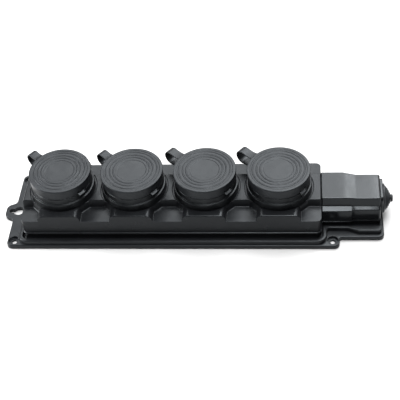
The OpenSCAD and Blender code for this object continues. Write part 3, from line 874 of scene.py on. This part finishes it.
def ridged_face(z):
    """Profile of the three fine ridges in the cap's face, from the rim inwards."""
    points = []
    foot, crest = (0.75, z - 0.35, 0.3), (0.3, z - 0.02, 0.25)
    for share in RIDGE_SHARES:
        middle = share * CAP_R
        for side, (half, height, rounding) in ((1, foot), (1, crest), (-1, crest), (-1, foot)):
            points.append((middle + side * half, height, rounding))
    return points


def cap_profile():
    """Section of the cap: hollow skirt, lip round the lid, ridged face with a sunk disc."""
    skirt_z = cap_low.z
    lip_r = CAP_R - 0.25
    corners = [(0, CAP_TOP - LID_T, 0), (SKIRT_IN_R, CAP_TOP - LID_T, 0.5), (SKIRT_IN_R, skirt_z, 0.3),
               (lip_r - 0.1, skirt_z, 0.5), (lip_r, CAP_TOP - 1.6, 0.2), (CAP_R, CAP_TOP - 1.35, 0.2),
               (CAP_R, CAP_TOP, 0.7), (0.9 * CAP_R, CAP_TOP, 0.5), (0.89 * CAP_R, CAP_TOP - 0.35, 0.3)]
    corners += ridged_face(CAP_TOP)
    corners += [(0.475 * CAP_R, CAP_TOP - 0.35, 0.3), (0.46 * CAP_R, CAP_TOP - 0.6, 0.3),
                (0, CAP_TOP - 0.6, 0)]
    return outline(corners, steps=3)


def towards_latch(x):
    return Matrix.Translation((x, 0, 0)) @ Matrix.Rotation(latch_angle, 4, "Z")


def add_radial_box(work, x, reach, across, rise, rounding):
    """A box set along the latch direction of the socket at x, from the ranges of its three sides."""
    start = len(work.verts)
    outer = rectangle((reach[0], across[0]), (reach[1], across[1]), rounding)
    add_slab(work, [(outer, [(0, rise[0])] + edge_up(rounding, rise[1]))])
    work.verts.ensure_lookup_table()
    bmesh.ops.transform(work, matrix=towards_latch(x), verts=work.verts[start:])


def add_shelf(work, x, reach, across, top_z):
    """A shelf along the latch direction of the socket at x, whose top falls towards its front."""
    fall = SHELF_FALL * (reach[1] - reach[0])
    side = outline([(reach[0], top_z - fall - SHELF_T, 0.1), (reach[1], top_z - fall - SHELF_T, 0.3),
                    (reach[1], top_z - fall, 0.3), (reach[0], top_z, 0.1)], steps=4)
    add_rings(work, [[towards_latch(x) @ Vector((p.x, y, p.y)) for p in side] for y in across])


def make_cap(i):
    x = socket_xs[i - 1]
    name = f"cap_{i}_moulding"
    mesh = mesh_of(name, lambda work: add_turned(work, cap_profile(), (x, 0)))
    made = piece(name, mesh, CAP_RUBBER, f"hinged_cap_{i}")
    window = tool_of("window", lambda work: add_radial_box(
        work, x, (SKIRT_IN_R - 1, CAP_R + 2), (-WINDOW_W / 2, WINDOW_W / 2),
        (cap_low.z - 2, cap_low.z + WINDOW_H), 0.4))
    cut(made, [window])
    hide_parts(f"cap_{i}")
    return shade(made)


def ring_profile():
    inner = COLLAR_R + 0.05
    low, top = ring_low.z, cap_low.z - 0.3
    return outline([
        (inner, low, 0), (RING_BASE_R, low, 0.3), (RING_BASE_R - 0.2, RING_BASE_TOP, 0.8),
        (RING_R + 0.2, RING_BASE_TOP + 0.1, 0.5), (RING_R, top - 1.1, 0.3), (RING_R - 0.5, top - 0.9, 0.2),
        (RING_R - 0.5, top, 0.3), (inner, top, 0.2)
    ], steps=3)


def make_ring(i):
    x = socket_xs[i - 1]
    name = f"strap_ring_{i}_moulding"
    sill = cap_low.z - SILL_DROP
    mesh = mesh_of(name, lambda work: add_turned(work, ring_profile(), (x, 0)))
    made = piece(name, mesh, RING_RUBBER, BODY)
    notch = tool_of("sill", lambda work: add_radial_box(
        work, x, (COLLAR_R + 0.9, RING_R + 3), (-WINDOW_W / 2, WINDOW_W / 2), (sill, sill + 5), 0.3))
    cut(made, [notch])
    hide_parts(f"strap_ring_{i}")
    return shade(made)


def make_catch(i):
    """The lug behind the window of the cap's skirt, over a shelf with one raised end."""
    x = socket_xs[i - 1]
    sill = cap_low.z - SILL_DROP
    shelf_reach, shelf_top = (RING_R - 2 * SHELF_T, SHELF_R), cap_low.z + SHELF_RISE
    half = SHELF_W / 2

    def build(work):
        add_radial_box(work, x, (COLLAR_R + 0.5, CAP_R - 0.6), (-LUG_W / 2, LUG_W / 2),
                       (sill - 0.1, cap_low.z + WINDOW_H - 0.6), 0.5)
        add_shelf(work, x, shelf_reach, (-half, half), shelf_top)
        add_radial_box(work, x, shelf_reach, (half - SHELF_T, half), (shelf_top - SHELF_T, SHELF_END_Z), 0.35)

    name = f"latch_catch_{i}"
    return shade(piece(name, mesh_of(name, build), RING_RUBBER, BODY))


def strap_stations(fold):
    """Centre line of a strap as (reach, z, turn of its normal, extra width) from cap to ring.
    Fold is the reach of the middle of its bend. Both runs widen at their roots and are drawn
    together half way along."""
    def flare(distance, extra, length):
        return extra * max(0, 1 - distance / length) ** 2

    def pinch(distance, length):
        return STRAP_PINCH * math.sin(math.pi * distance / length)

    top, low = hinge_z + STRAP_BEND_R, hinge_z - STRAP_BEND_R
    start, end = CAP_R - 0.6, RING_R - 0.2
    run = [0, 0.6, 1.3, 2.2, 3.4, 5, 7, 10]
    upper = [d for d in run if start + d < fold - 1]
    lower = [d for d in reversed(run) if end + d < fold - 1]
    stations = [(start + d, top - pinch(d, fold - start), math.pi / 2, flare(d, 1.2, 2.6)) for d in upper]
    steps = 24
    for k in range(steps + 1):
        a = math.pi / 2 - math.pi * k / steps
        bend = STRAP_BEND_R * Vector((math.cos(a), math.sin(a)))
        stations.append((fold + bend.x, hinge_z + bend.y, a, 0))
    stations += [(end + d, low + pinch(d, fold - end), -math.pi / 2, flare(d, 4, 10)) for d in lower]
    return stations


def make_strap(i):
    x = socket_xs[i - 1]
    name = f"strap_{i}_band"
    section = rectangle((-STRAP_W / 2, -STRAP_T / 2), (STRAP_W / 2, STRAP_T / 2), 0.5)
    out = Vector((math.cos(strap_angle), math.sin(strap_angle), 0))
    across = Vector((-math.sin(strap_angle), math.cos(strap_angle), 0))

    def build(work):
        rings = []
        for reach, z, turn, extra in strap_stations(hinge_reach - STRAP_SLACK[i - 1]):
            centre = Vector((x, 0, z)) + out * reach
            normal = out * math.cos(turn) + Vector((0, 0, math.sin(turn)))
            wider = 1 + 2 * extra / STRAP_W
            rings.append([centre + across * (p.x * wider) + normal * p.y for p in section])
        add_rings(work, rings)

    made = piece(name, mesh_of(name, build), STRAP_RUBBER, None)
    shade(made)
    made.modifiers.clear()
    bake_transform(made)
    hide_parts(f"strap_{i}")
    return made


# ---------- the scene ----------

add_camera()
add_stage()
dress_cad_nodes()
make_plate()
make_rim()
make_seats()
make_cover()
make_cable_box()
make_box_sleeve()
make_inlet_frame()
make_membrane()
for number in SOCKETS:
    make_cap(number)
    make_ring(number)
    make_catch(number)
    make_strap(number)
